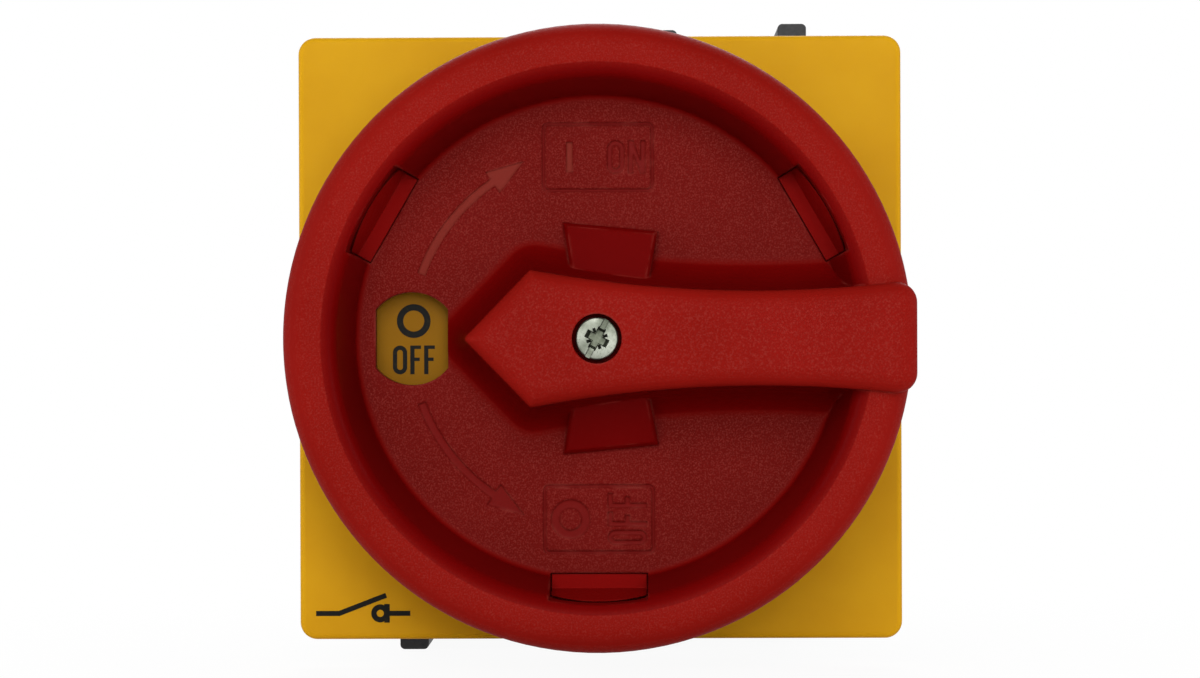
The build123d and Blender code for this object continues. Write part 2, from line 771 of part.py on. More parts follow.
save("shaft", shaft())
save("mounting_flange", mounting_flange())
save("flange_nuts", *flange_nuts())
save("detent_housing", detent_housing())
save("detent_wheel", detent_wheel())
save("detent_spring_1", detent_spring(1))
save("detent_spring_2", detent_spring(-1))


# Switching chambers

def cam_radius(angle):
    """Cam radius where the contact plunger touches once the shaft has turned by an angle."""
    low = cam_high_r - contact_travel
    if angle <= turn_angle:
        return cam_high_r - contact_travel * angle / turn_angle
    if angle <= 110:
        return low
    if angle <= 150:
        return low + contact_travel * (1 - math.cos(math.pi * (angle - 110) / 40)) / 2
    return cam_high_r


def cam(back):
    """Plastic cam on the shaft: it holds the contacts open at off and lets them close at on."""
    front = back + chamber_length
    middle = back + (chamber_length - front_wall) / 2
    points = []
    for step in range(60):
        angle = 6.0 * step
        r = cam_radius(angle % 180)
        points.append((r * math.cos(math.radians(angle)), r * math.sin(math.radians(angle))))
    track = prism(make_face(Spline(*points, periodic=True)), middle - cam_track / 2, middle + cam_track / 2)
    body = track + rod(cam_hub_r, back + sliding, front - front_wall - sliding)
    body = body + rod(journal_r, front - front_wall - sliding, front - fitting)
    bore = shaft_side / 2 + fitting
    return body - block(-bore, bore, -bore, bore, back - 1, front + 1)


def barrier(x, y, back):
    """Insulating rib beside a terminal."""
    outline = block(x - barrier_thickness / 2, x + barrier_thickness / 2, body_half - 1, body_half + y,
                    back + 0.5, back + chamber_length - 0.5)
    return fillet(outline.edges().filter_by(Axis.Z), 0.5)


def chamber(back):
    """Insulating tray, open to the rear, for two double-break contacts and four terminals."""
    front = back + chamber_length
    inner = front - front_wall
    middle = back + (chamber_length - front_wall) / 2
    tray = rounded_square(body_half, chamber_corner, back, front)
    long_ribs = [barrier(terminal_x - barrier_spread, barrier_long, back),
                 barrier(terminal_x + barrier_spread_outer, barrier_longest, back)]
    short_ribs = [barrier(-terminal_x + side * barrier_spread, barrier_short, back) for side in (-1, 1)]
    for rib in long_ribs + short_ribs:
        tray = tray + rib + Rot(0, 0, 180) * rib
    tray = tray - rod(cam_high_r + stop_gap + running, back - 1, inner)
    tray = tray - rod(journal_r + running, back - 1, front + 1)
    tray = tray - tie_holes(back - 1, front + 1)
    strip_half = contact_width / 2 + running
    clamp_half = contact_width / 2 + stop_gap + clamp_wall + sliding
    seat = middle + strip_half
    for side in (-1, 1):
        tray = tray - block(side * (cam_high_r - 1), side * wall_x, -contact_pocket_y, contact_pocket_y,
                            back - 1, inner)
        for end in (-1, 1):
            guide_in = plunger_half + sliding
            tray = tray + block(side * guide_x, side * wall_x, end * guide_in, end * (guide_in + 1.2),
                                back, inner)
            strip_in = terminal_x - strip_thickness - fitting
            tray = tray - block(side * strip_in, side * (terminal_x + fitting),
                                end * (contact_pocket_y - 1), end * (terminal_y - 1), back - 1, seat)
            room = clamp_length / 2 + sliding + stop_gap
            tray = tray - block(side * (terminal_x - strip_thickness - clamp_wall - sliding), side * wall_x,
                                end * (terminal_y - room), end * (terminal_y + room),
                                back - 1, middle + clamp_half)
            tray = tray - block(side * (terminal_x + running), side * (clamp_x - running),
                                end * terminal_y, end * (body_half + 1),
                                middle - wire_entry_width / 2, middle + wire_entry_width / 2)
            tray = tray - rod_x(terminal_screw_head_r + sliding + running, side * (wall_x - 1),
                                side * (body_half + 1), end * terminal_y, middle)
    return tray


def plunger(side, back):
    """Sliding carrier: rounded nose on the cam, slot for the contact bridge, tail bored for the spring."""
    middle = back + (chamber_length - front_wall) / 2
    tip = cam_high_r + stop_gap / 2
    nose_z = contact_width / 2
    nose = block(tip, guide_x, -plunger_nose_half, plunger_nose_half, middle - nose_z, middle + nose_z)
    nose = fillet(nose.edges().filter_by(Axis.Z).sort_by(Axis.X)[:2], 0.9 * plunger_nose_half)
    tail_z = (chamber_length - front_wall) / 2 - free
    tail = block(bridge_x - strip_thickness, tail_x, -plunger_half, plunger_half,
                 middle - tail_z, middle + tail_z)
    body = nose + tail
    slot_z = contact_width / 2 + fitting
    body = body - block(bridge_x, bridge_back_x, -plunger_half - 1, plunger_half + 1,
                        middle - slot_z, middle + slot_z)
    body = body - rod_x(contact_spring_r + sliding, tail_x - contact_spring_bore, tail_x + 1, 0, middle)
    return body if side > 0 else Rot(0, 0, 180) * body


def contact_bridge(side, back):
    """Copper bar with two silver tips that joins the pair of fixed contacts."""
    middle = back + (chamber_length - front_wall) / 2
    bar = block(bridge_x, bridge_back_x, -bridge_half, bridge_half,
                middle - contact_width / 2, middle + contact_width / 2)
    bar = fillet(bar.edges().filter_by(Axis.X), 0.8)
    for y in (-contact_y, contact_y):
        bar = bar + rod_x(contact_r, bridge_tip_x, bridge_x, y, middle)
    return bar if side > 0 else Rot(0, 0, 180) * bar


def contact_spring(side, back):
    """Space taken by the coil spring behind a plunger, which closes its contact."""
    middle = back + (chamber_length - front_wall) / 2
    start = tail_x - contact_spring_bore
    coil = rod_x(contact_spring_r, start, wall_x, 0, middle)
    coil = coil - rod_x(contact_spring_r - contact_spring_wire, start - 1, wall_x + 1, 0, middle)
    return coil if side > 0 else Rot(0, 0, 180) * coil


def fixed_contact(side, end, back):
    """Bent copper strip from the contact tip out to its terminal."""
    middle = back + (chamber_length - front_wall) / 2
    z0 = middle - contact_width / 2
    z1 = middle + contact_width / 2
    foot_y = contact_y - contact_r - stop_gap
    arm = block(strip_x, strip_x + strip_thickness, end * foot_y, end * (riser_y + strip_thickness), z0, z1)
    riser = block(strip_x, terminal_x, end * riser_y, end * (riser_y + strip_thickness), z0, z1)
    tail = block(terminal_x - strip_thickness, terminal_x, end * riser_y,
                 end * (terminal_y + clamp_length / 2), z0, z1)
    tip = rod_x(contact_r, strip_x + strip_thickness, fixed_tip_x, end * contact_y, middle)
    shape = arm + riser + tail + tip
    return shape if side > 0 else mirror(shape, about=Plane.YZ)


def terminal_parts(back):
    """The four box clamps and the four screws of a chamber."""
    middle = back + (chamber_length - front_wall) / 2
    half_in = contact_width / 2 + stop_gap
    half_out = half_in + clamp_wall
    inner_x = terminal_x - strip_thickness
    y0 = terminal_y - clamp_length / 2
    y1 = terminal_y + clamp_length / 2
    clamp = block(inner_x - clamp_wall, clamp_x + clamp_thread, y0, y1, middle - half_out, middle + half_out)
    clamp = clamp - block(inner_x, clamp_x, y0 - 1, y1 + 1, middle - half_in, middle + half_in)
    clamp = clamp - rod_x(terminal_screw_r, clamp_x - 1, clamp_x + clamp_thread + 1, terminal_y, middle)
    head_end = terminal_head_x + terminal_screw_head
    screw = rod_x(terminal_screw_r, clamp_x - stop_gap, terminal_head_x, terminal_y, middle)
    screw = screw + rod_x(terminal_screw_head_r, terminal_head_x, head_end, terminal_y, middle)
    slot = block(head_end - 0.9, head_end + 1, terminal_y - 4, terminal_y + 4, middle - 0.35, middle + 0.35)
    screw = screw - slot
    clamps = []
    screws = []
    for shape, group in ((clamp, clamps), (screw, screws)):
        upper = [shape, mirror(shape, about=Plane.YZ)]
        group.extend(upper + [mirror(piece, about=Plane.XZ) for piece in upper])
    return clamps, screws


for place, back in zip(("front", "rear"), chamber_backs):
    save(f"chamber_{place}", chamber(back))
    save(f"cam_{place}", cam(back))
    clamps, screws = terminal_parts(back)
    save(f"terminal_clamps_{place}", *clamps)
    save(f"terminal_screws_{place}", *screws)
    for hand, side in (("right", 1), ("left", -1)):
        save(f"plunger_{place}_{hand}", plunger(side, back))
        save(f"contact_bridge_{place}_{hand}", contact_bridge(side, back))
        save(f"contact_spring_{place}_{hand}", contact_spring(side, back))
        for level, end in (("top", 1), ("bottom", -1)):
            save(f"fixed_contact_{place}_{hand}_{level}", fixed_contact(side, end, back))


# Rear cover and the bolts through the stack

def rear_cover():
    """Black end plate with the rear bearing of the shaft and sunk bolt heads."""
    front = chamber_backs[1]
    slab = rounded_square(body_half, chamber_corner, cover_back, front)
    slab = fillet(slab.faces().sort_by(Axis.Z)[0].edges(), 0.8)
    slab = slab - tie_holes(cover_back - 1, front + 1)
    slab = slab - rod(shaft_end_r + running, cover_back + 1, front + 1)
    for y in (-tie_bolt_y, tie_bolt_y):
        slab = slab - rod(tie_bolt_head_r + sliding, cover_back - 1, cover_back + tie_bolt_head, 0, y)
    return slab


def tie_bolts():
    """Two bolts from the rear cover to the flange."""
    seat = cover_back + tie_bolt_head
    bolt = rod(tie_bolt_head_r, cover_back, seat) + rod(tie_bolt_r, seat, flange_front - free)
    bolt = bolt - Rot(180, 0, 0) * cross_recess(1.6, 0.6, 1.2, -cover_back)
    return [Pos(0, y, 0) * bolt for y in (-tie_bolt_y, tie_bolt_y)]


def tie_nuts():
    """Hexagon nuts sunk into the front of the flange."""
    nut = prism(tie_nut_outline(), flange_front - tie_nut_height - sliding, flange_front - sliding)
    nut = nut - rod(tie_bolt_r, flange_back, 0)
    return [Pos(0, y, 0) * nut for y in (-tie_bolt_y, tie_bolt_y)]


save("rear_cover", rear_cover())
save("tie_bolts", *tie_bolts())
save("tie_nuts", *tie_nuts())
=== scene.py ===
import math

import bmesh
import bpy
from mathutils import Matrix, Vector


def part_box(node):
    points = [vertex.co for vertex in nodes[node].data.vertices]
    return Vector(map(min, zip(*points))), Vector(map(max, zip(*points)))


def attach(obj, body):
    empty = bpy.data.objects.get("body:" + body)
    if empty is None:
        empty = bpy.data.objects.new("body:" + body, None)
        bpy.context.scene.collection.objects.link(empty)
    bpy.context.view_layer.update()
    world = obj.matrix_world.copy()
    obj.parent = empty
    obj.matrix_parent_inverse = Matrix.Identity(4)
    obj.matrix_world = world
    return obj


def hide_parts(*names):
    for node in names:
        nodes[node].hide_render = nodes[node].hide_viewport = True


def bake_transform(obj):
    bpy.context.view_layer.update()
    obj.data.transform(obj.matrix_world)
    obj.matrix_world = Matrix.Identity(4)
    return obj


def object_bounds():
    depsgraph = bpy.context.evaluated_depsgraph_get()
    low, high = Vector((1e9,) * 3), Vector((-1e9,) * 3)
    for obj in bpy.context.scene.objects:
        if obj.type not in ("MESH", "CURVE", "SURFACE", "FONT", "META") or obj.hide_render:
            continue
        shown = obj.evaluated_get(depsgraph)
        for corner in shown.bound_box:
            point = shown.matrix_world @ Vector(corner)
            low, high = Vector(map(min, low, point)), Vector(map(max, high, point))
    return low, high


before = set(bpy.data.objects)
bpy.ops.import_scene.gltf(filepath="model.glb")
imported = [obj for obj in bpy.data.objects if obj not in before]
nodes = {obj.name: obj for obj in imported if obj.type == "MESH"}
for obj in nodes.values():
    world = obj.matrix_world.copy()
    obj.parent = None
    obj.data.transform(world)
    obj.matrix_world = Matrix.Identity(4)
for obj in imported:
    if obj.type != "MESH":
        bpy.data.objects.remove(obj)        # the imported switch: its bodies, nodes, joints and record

cad_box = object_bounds()


# Front plate
# The square front plate, its drum and the locking ring are one moulding in yellow polyamide.
# Its face comes from a polished mould, so it is only slightly satin. Four screws hold it to the panel.

def wire_up(socket, value):
    """Set a socket, or join it to another one."""
    if isinstance(value, bpy.types.NodeSocket):
        socket.id_data.links.new(value, socket)
    else:
        socket.default_value = value


def add(tree, kind, inputs, **settings):
    """One more node in a material, with its settings made and its sockets filled."""
    made = tree.nodes.new("ShaderNode" + kind)
    for setting, value in settings.items():
        setattr(made, setting, value)
    for socket, value in inputs.items():
        wire_up(made.inputs[socket], value)
    return made


def mottle(tree, place, size, detail=2.0):
    """Soft spots of about a size in metres, as a value round a half."""
    return add(tree, "TexNoise", {"Vector": place, "Scale": 1 / size, "Detail": detail}).outputs[0]


def spread(tree, value, low, high, to_low, to_high):
    """A value carried from one range to another, and kept inside it."""
    sockets = {"Value": value, "From Min": low, "From Max": high, "To Min": to_low, "To Max": to_high}
    return add(tree, "MapRange", sockets).outputs[0]


def tint(tree, share, first, second):
    """A colour part of the way from one to another."""
    return add(tree, "Mix", {0: share, 6: first, 7: second}, data_type="RGBA").outputs[2]


def product(tree, first, second):
    """Two values multiplied."""
    return add(tree, "Math", {0: first, 1: second}, operation="MULTIPLY").outputs[0]


def blank(name):
    """A new material, its node tree, its surface shader and the place of each point in metres."""
    material = bpy.data.materials.new(name)
    material.use_nodes = True
    tree = material.node_tree
    return material, tree, tree.nodes["Principled BSDF"], add(tree, "TexCoord", {}).outputs["Object"]


edge_turned = 0.90
edge_flat = 0.995


def edges(tree, radius):
    """The surface rounded at its edges, and a share that is 1 on an edge and 0 elsewhere."""
    rounded = add(tree, "Bevel", {"Radius": radius}, samples=6).outputs[0]
    straight = add(tree, "NewGeometry", {}).outputs["Normal"]
    alike = add(tree, "VectorMath", {0: rounded, 1: straight}, operation="DOT_PRODUCT").outputs["Value"]
    return rounded, spread(tree, alike, edge_flat, edge_turned, 0.0, 1.0)


def moulded(name, colour, deep, rubbed, gloss, shine, grain, grain_depth):
    """Injection-moulded plastic: clouded colour, a fine grain from the mould, and rubbed edges."""
    material, tree, surface, place = blank(name)
    rounded, edge = edges(tree, radius=0.00015)
    clouds = spread(tree, mottle(tree, place, 0.012, 3.0), 0.35, 0.65, 0.0, 1.0)
    pits = mottle(tree, place, grain, 3.0)
    scuffs = spread(tree, mottle(tree, place, 0.0022, 5.0), 0.45, 0.62, 0.0, 1.0)
    worn = product(tree, edge, scuffs)
    body = tint(tree, clouds, deep, colour)
    wire_up(surface.inputs["Base Color"], tint(tree, worn, body, rubbed))
    rough = spread(tree, pits, 0.3, 0.7, gloss - 0.07, gloss + 0.07)
    wire_up(surface.inputs["Roughness"], rough)
    surface.inputs["Specular IOR Level"].default_value = shine
    bump = {"Height": pits, "Strength": 0.6, "Distance": grain_depth, "Normal": rounded}
    wire_up(surface.inputs["Normal"], add(tree, "Bump", bump).outputs[0])
    return material


def dress(material, *names):
    """Give CAD nodes their material."""
    for name in names:
        nodes[name].material_slots[0].material = material


yellow_plastic = moulded(
    "yellow_plastic", colour=(0.570, 0.300, 0.0062, 1), deep=(0.525, 0.262, 0.0047, 1),
    rubbed=(0.62, 0.37, 0.030, 1), gloss=0.46, shine=0.04, grain=0.0005, grain_depth=0.000012)
dress(yellow_plastic, "front_plate")


# Label disc
# A yellow disc snapped into the drum, printed with the words for off and on in black pad ink.
# The knob's window stands over one of the two prints at a time.

def pad_ink(name, colour, thin):
    """Printing ink: a thin coat that lets a little of the plastic through here and there."""
    material, tree, surface, place = blank(name)
    patches = spread(tree, mottle(tree, place, 0.0007, 4.0), 0.55, 0.75, 0.0, 1.0)
    wire_up(surface.inputs["Base Color"], tint(tree, patches, colour, thin))
    wire_up(surface.inputs["Roughness"], spread(tree, patches, 0.0, 1.0, 0.42, 0.60))
    surface.inputs["Specular IOR Level"].default_value = 0.04
    film = {"Height": patches, "Strength": 0.3, "Distance": 0.000004}
    wire_up(surface.inputs["Normal"], add(tree, "Bump", film).outputs[0])
    return material


def facing_out(middle, outward):
    """The turn and the shift that stand a flat drawing upright on a face, seen from outside it."""
    outward = Vector(outward)
    across = Vector((0, 0, 1)).cross(outward)
    turn = Matrix((across, Vector((0, 0, 1)), outward)).transposed().to_4x4()
    return Matrix.Translation(middle) @ turn


def long_ring(width, height, line, steps=20):
    """A ring with straight sides, or a round one, as the outlines of its upper and lower halves."""
    rise = (height - width) / 2
    halves = []
    for way in (1, -1):
        outline = []
        for r, order in ((width / 2, 1), (width / 2 - line, -1)):
            turns = [math.pi * i / steps for i in range(steps + 1)]
            arc = [(r * math.cos(a), way * (rise + r * math.sin(a))) for a in turns]
            if rise > 0:
                arc = [(r, 0)] + arc + [(-r, 0)]
            outline += arc[::order]
        halves.append(outline)
    return halves


def letter(sign, width, height, line):
    """A plain capital letter from its lower left corner, as outlines."""
    if sign == "O":
        halves = long_ring(width, height, line)
        return [[(x + width / 2, y + height / 2) for x, y in half] for half in halves]
    if sign == "N":
        lean = 2.1 * line
        return [[(0, 0), (line, 0), (line, height - lean), (width - line, 0), (width, 0), (width, height),
                 (width - line, height), (width - line, lean), (line, height), (0, height)]]
    flag = 0.8 * line
    waist = 0.46 * height
    short = 0.88 * width
    return [[(0, 0), (line, 0), (line, waist), (short, waist), (short, waist + flag), (line, waist + flag),
             (line, height - flag), (width, height - flag), (width, height), (0, height)]]


def word(text, widths, height, line, gap):
    """Capital letters side by side, centred, as outlines."""
    outlines = []
    at = -(sum(widths) + gap * (len(text) - 1)) / 2
    for sign, width in zip(text, widths):
        for outline in letter(sign, width, height, line):
            outlines.append([(x + at, y - height / 2) for x, y in outline])
        at += width + gap
    return outlines


def slab(outlines, depth):
    """Flat outlines, each a list of points, joined where they meet and raised to a thin slab."""
    build = bmesh.new()
    for points in outlines:
        build.faces.new([build.verts.new((x, y, -depth / 2)) for x, y in points])
    bmesh.ops.remove_doubles(build, verts=build.verts, dist=1e-8)
    raised = bmesh.ops.extrude_face_region(build, geom=build.faces[:])["geom"]
    lifted = [v for v in raised if isinstance(v, bmesh.types.BMVert)]
    bmesh.ops.translate(build, verts=lifted, vec=(0, 0, depth))
    bmesh.ops.recalc_face_normals(build, faces=build.faces)
    mesh = bpy.data.meshes.new("slab")
    build.to_mesh(mesh)
    build.free()
    return mesh


def bar(x0, x1, y0, y1):
    """A rectangle as an outline."""
    return [(x0, y0), (x1, y0), (x1, y1), (x0, y1)]


def piece(name, mesh, material, body, place=None):
    """A new piece of the object: its mesh put in place, its material, and the body that it rides on."""
    if place is not None:
        mesh.transform(place)
    mesh.materials.clear()
    mesh.materials.append(material)
    made = bpy.data.objects.new(name, mesh)
    bpy.context.scene.collection.objects.link(made)
    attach(made, body)
    return made


# The disc's yellow is painted darker than the plate's: painted shade for the disc lying under the knob.
label_plastic = moulded(
    "label_plastic", colour=(0.268, 0.120, 0.0020, 1), deep=(0.236, 0.102, 0.0016, 1),
    rubbed=(0.36, 0.19, 0.012, 1), gloss=0.42, shine=0.04, grain=0.0004, grain_depth=0.000008)
dress(label_plastic, "label_disc")

black_ink = pad_ink("black_ink", colour=(0.0085, 0.0085, 0.0070, 1), thin=(0.022, 0.018, 0.008, 1))
ink_depth = 0.00003
label_r = 0.01805
label_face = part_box("label_disc")[0].y - ink_depth / 2
off_ring_rise = 0.00172
off_ring_d = 0.0033
off_ring_line = 0.00062
off_word_drop = 0.00207
word_height = 0.0028
word_line = 0.00042
word_gap = 0.00030
off_widths = (0.0014, 0.00105, 0.00105)
place = facing_out((-label_r, label_face, off_ring_rise), (0, -1, 0))
piece("print_off_ring", slab(long_ring(off_ring_d, off_ring_d, off_ring_line), ink_depth), black_ink,
      "base", place)
place = facing_out((-label_r, label_face, -off_word_drop), (0, -1, 0))
piece("print_off_word", slab(word("OFF", off_widths, word_height, word_line, word_gap), ink_depth),
      black_ink, "base", place)

on_spread = 0.0024
on_stroke_width = 0.0006
on_stroke_height = 0.0030
on_widths = (0.0014, 0.0015)
place = facing_out((-on_spread, label_face, label_r), (0, -1, 0))
stroke = [bar(-on_stroke_width / 2, on_stroke_width / 2, -on_stroke_height / 2, on_stroke_height / 2)]
piece("print_on_bar", slab(stroke, ink_depth), black_ink, "base", place)
place = facing_out((on_spread / 2, label_face, label_r), (0, -1, 0))
piece("print_on_word", slab(word("ON", on_widths, word_height, word_line, word_gap), ink_depth),
      black_ink, "base", place)


# Sign on the plate
# The circuit sign for an isolator, pad printed in the lower left corner of the plate.
# It is a lead, an open blade, a small ring with a bar, and the second lead.

plate_thickness = 0.004
sign_line = 0.00050
sign_start = -0.02840
sign_level = -0.02740
lead_length = 0.0023
blade_run = 0.0047
blade_rise = 0.0018
sign_ring_x = 0.0064
sign_ring_out = 0.0009
sign_ring_in = 0.00036
sign_bar = (0.00680, 0.00735)
sign_bar_half = 0.00093
second_lead_end = 0.0094


def lead_and_blade():
    """The first lead and the leaning blade, as one outline with a mitred bend."""
    half = sign_line / 2
    lean = math.atan2(blade_rise, blade_run)
    mitre = half * math.tan(lean / 2)
    side = Vector((-math.sin(lean), math.cos(lean))) * half
    tip = Vector((lead_length + blade_run, blade_rise))
    return [(0, -half), (lead_length + mitre, -half), tuple(tip - side), tuple(tip + side),
            (lead_length - mitre, half), (0, half)]


def ring_to_bar(way, steps=20):
    """One half of the small ring, cut off where it runs into the bar."""
    reach = sign_bar[0] - sign_ring_x
    meets = math.acos(reach / sign_ring_out)
    turns = [meets + (math.pi - meets) * i / steps for i in range(steps + 1)]
    outer = [(sign_ring_out * math.cos(a), way * sign_ring_out * math.sin(a)) for a in turns]
    turns = [math.pi * i / steps for i in range(steps, -1, -1)]
    inner = [(sign_ring_in * math.cos(a), way * sign_ring_in * math.sin(a)) for a in turns]
    return [(x + sign_ring_x, y) for x, y in outer + inner + [(reach, 0)]]


strokes = [lead_and_blade(), ring_to_bar(1), ring_to_bar(-1),
           bar(*sign_bar, -sign_bar_half, sign_bar_half),
           bar(sign_bar[1], second_lead_end, -sign_line / 2, sign_line / 2)]
place = facing_out((sign_start, -plate_thickness - ink_depth / 2, sign_level), (0, -1, 0))
piece("print_isolator_sign", slab(strokes, ink_depth), black_ink, "base", place)


# Gasket and shaft seal
# Black moulded rubber. The gasket is pressed into its groove behind the plate and seals the panel;
# the small ring lies round the bush in the well of the drum.

def moulded_rubber(name, colour, bloom):
    """Dull rubber with a little grey bloom."""
    material, tree, surface, place = blank(name)
    dust = spread(tree, mottle(tree, place, 0.004, 5.0), 0.42, 0.70, 0.0, 1.0)
    pores = mottle(tree, place, 0.00025, 3.0)
    wire_up(surface.inputs["Base Color"], tint(tree, dust, colour, bloom))
    wire_up(surface.inputs["Roughness"], spread(tree, pores, 0.3, 0.7, 0.66, 0.86))
    surface.inputs["Specular IOR Level"].default_value = 0.3
    bump = {"Height": pores, "Strength": 0.5, "Distance": 0.00002}
    wire_up(surface.inputs["Normal"], add(tree, "Bump", bump).outputs[0])
    return material


black_rubber = moulded_rubber(
    "black_rubber", colour=(0.014, 0.014, 0.015, 1), bloom=(0.045, 0.045, 0.046, 1))
dress(black_rubber, "plate_gasket", "shaft_seal")


# Knob
# The red knob is one deep moulding: a round cup with a sunk dish, the grip bar with its arrow point,
# three slots for the lock slides, a window, and sunk arrows and words. Its face has a sparked grain.

def sparked_plastic(name, zones, glint_and_wear, shine):
    """Red plastic: a sparked grain on what faces the user, polished sides, slopes and sunk marks, painted
    shade on the dish floor and slopes, painted light in the marks and painted glints on the grain.
    """
    material, tree, surface, place = blank(name)
    rounded, edge = edges(tree, radius=0.00040)
    x, y, z = add(tree, "SeparateXYZ", {0: place}).outputs
    way = add(tree, "SeparateXYZ", {0: add(tree, "TexCoord", {}).outputs["Normal"]}).outputs["Y"]
    flat_place = add(tree, "CombineXYZ", {0: x, 1: z}).outputs[0]
    radius = add(tree, "VectorMath", {0: flat_place}, operation="LENGTH").outputs["Value"]
    face_on = spread(tree, way, -0.80, -0.97, 0.0, 1.0)
    in_dish = spread(tree, radius, dish_wall_r, dish_wall_r - wall_blend, 0.0, 1.0)
    low_down = spread(tree, y, -dish_floor - foot_blend, -dish_floor - floor_play, 0.0, 1.0)
    on_floor = product(tree, in_dish, low_down)
    below_top = spread(tree, y, -grip_slope_foot, -grip_slope_foot + slope_blend, 0.0, 1.0)
    aside = add(tree, "Math", {0: 1.0, 1: on_floor}, operation="SUBTRACT").outputs[0]
    slopes = product(tree, product(tree, in_dish, below_top), aside)
    marks = product(tree, on_floor, spread(tree, y, *sunk_levels, 0.0, 1.0))
    # The arrow and the bar of the I: where a painted highlight goes.
    arrow = product(tree, spread(tree, x, *arrow_right, 1.0, 0.0), spread(tree, z, *arrow_foot, 0.0, 1.0))
    beside = add(tree, "Math", {0: x, 1: on_bar_x, 2: on_bar_half}, operation="COMPARE").outputs[0]
    along = add(tree, "Math", {0: z, 1: on_bar_z, 2: on_bar_reach}, operation="COMPARE").outputs[0]
    bright = add(tree, "Math", {0: arrow, 1: product(tree, beside, along)}, operation="MAXIMUM").outputs[0]
    outside = spread(tree, radius, outer_wall_r, outer_wall_r + wall_blend, 0.0, 1.0)
    smooth = add(tree, "Math", {0: slopes, 1: marks}, operation="MAXIMUM").outputs[0]
    rough_share = add(tree, "Math", {0: 1.0, 1: smooth}, operation="SUBTRACT").outputs[0]
    skirt = product(tree, outside, skirt_grain)
    either = add(tree, "Math", {0: face_on, 1: skirt}, operation="MAXIMUM").outputs[0]
    grained = product(tree, either, rough_share)
    clouds = spread(tree, mottle(tree, place, 0.014, 3.0), 0.35, 0.65, 0.0, 1.0)
    pits = mottle(tree, place, 0.00034, 3.0)
    # Painted glints: light flecks on the grained faces stand in for the sheen of the grain.
    painted_glints = spread(tree, mottle(tree, place, 0.00016, 3.0), 0.48, 0.70, 0.0, 0.36)
    painted_glints = product(tree, painted_glints, spread(tree, on_floor, 0.0, 1.0, 0.80, 1.0))
    scuffs = spread(tree, mottle(tree, place, 0.0025, 5.0), 0.48, 0.66, 0.0, 0.5)
    body = tint(tree, clouds, *zones["faces"])
    # Painted shade: the dish floor and the smooth slopes take darker reds that stand in for the shade deep
    # in the dish.
    body = tint(tree, on_floor, body, tint(tree, clouds, *zones["floor"]))
    body = tint(tree, slopes, body, tint(tree, clouds, *zones["slopes"]))
    body = tint(tree, product(tree, painted_glints, grained), body, glint_and_wear)
    # Painted light: the sunk marks are lighter than the floor to offset their shade, and the arrow and the
    # bar of the I take a painted highlight.
    body = tint(tree, marks, body, tint(tree, bright, *zones["marks"]))
    # The rubbed edges take the same light colour: edge wear together with a painted highlight along the
    # edges.
    wire_up(surface.inputs["Base Color"], tint(tree, product(tree, edge, scuffs), body, glint_and_wear))
    gloss = spread(tree, pits, 0.3, 0.7, 0.48, 0.62)
    polish = add(tree, "Mix", {0: smooth, 2: gloss, 3: 0.34}, data_type="FLOAT").outputs[0]
    wire_up(surface.inputs["Roughness"], polish)
    surface.inputs["Specular IOR Level"].default_value = shine
    height = product(tree, pits, spread(tree, grained, 0.0, 1.0, 0.12, 1.0))
    bump = {"Height": height, "Strength": 0.7, "Distance": 0.00004, "Normal": rounded}
    wire_up(surface.inputs["Normal"], add(tree, "Bump", bump).outputs[0])
    return material


dish_floor = 0.015
foot_blend = 0.0004
floor_play = 0.00002
sunk_levels = (-dish_floor + 0.00008, -dish_floor + 0.00012)
dish_wall_r = 0.0262
outer_wall_r = 0.0290
wall_blend = 0.0001
skirt_grain = 0.6
grip_slope_foot = 0.0246
slope_blend = 0.0010
arrow_right = (-0.0062, -0.0060)
arrow_foot = (-0.002, 0.002)
on_bar_x = -0.00275
on_bar_z = 0.0175
on_bar_half = 0.0004
on_bar_reach = 0.0016
# The floor and slopes reds are darkened as painted shade, the marks reds are lightened as painted light, and
# the glint colour is painted sheen and edge wear.
red_plastic = sparked_plastic(
    "red_plastic", glint_and_wear=(0.30, 0.045, 0.034, 1), shine=0.02,
    zones={"faces": ((0.190, 0.0046, 0.0026, 1), (0.216, 0.0056, 0.0034, 1)),
           "floor": ((0.125, 0.0042, 0.0032, 1), (0.142, 0.0052, 0.0040, 1)),
           "slopes": ((0.120, 0.0008, 0.0008, 1), (0.136, 0.0012, 0.0011, 1)),
           "marks": ((0.150, 0.0060, 0.0048, 1), (0.182, 0.0190, 0.0125, 1))})
dress(red_plastic, "knob")


# Lock slides and their springs
# Three red slides stand in slots round the dish. Each is pressed in to pass a padlock's shackle,
# and a small coil spring on the thin black ring under the knob pushes it back out.

# The slides' red is lighter than the knob's: painted light to offset the shade in their slots.
slide_plastic = moulded(
    "slide_plastic", colour=(0.225, 0.0030, 0.0024, 1), deep=(0.200, 0.0026, 0.0021, 1),
    rubbed=(0.22, 0.010, 0.008, 1), gloss=0.42, shine=0.01, grain=0.0004, grain_depth=0.00001)
dress(slide_plastic, "lock_slide_1", "lock_slide_2", "lock_slide_3")


def drawn_wire(name, colour, dark):
    """Bright spring wire with the fine lines of its drawing and a little oil staining."""
    material, tree, surface, place = blank(name)
    stain = spread(tree, mottle(tree, place, 0.0012, 4.0), 0.45, 0.70, 0.0, 1.0)
    lines = mottle(tree, place, 0.00006, 2.0)
    wire_up(surface.inputs["Base Color"], tint(tree, stain, colour, dark))
    wire_up(surface.inputs["Roughness"], spread(tree, lines, 0.3, 0.7, 0.22, 0.40))
    surface.inputs["Metallic"].default_value = 1.0
    bump = {"Height": lines, "Strength": 0.3, "Distance": 0.000006}
    wire_up(surface.inputs["Normal"], add(tree, "Bump", bump).outputs[0])
    return material


spring_steel = drawn_wire("spring_steel", colour=(0.56, 0.56, 0.55, 1), dark=(0.36, 0.35, 0.33, 1))


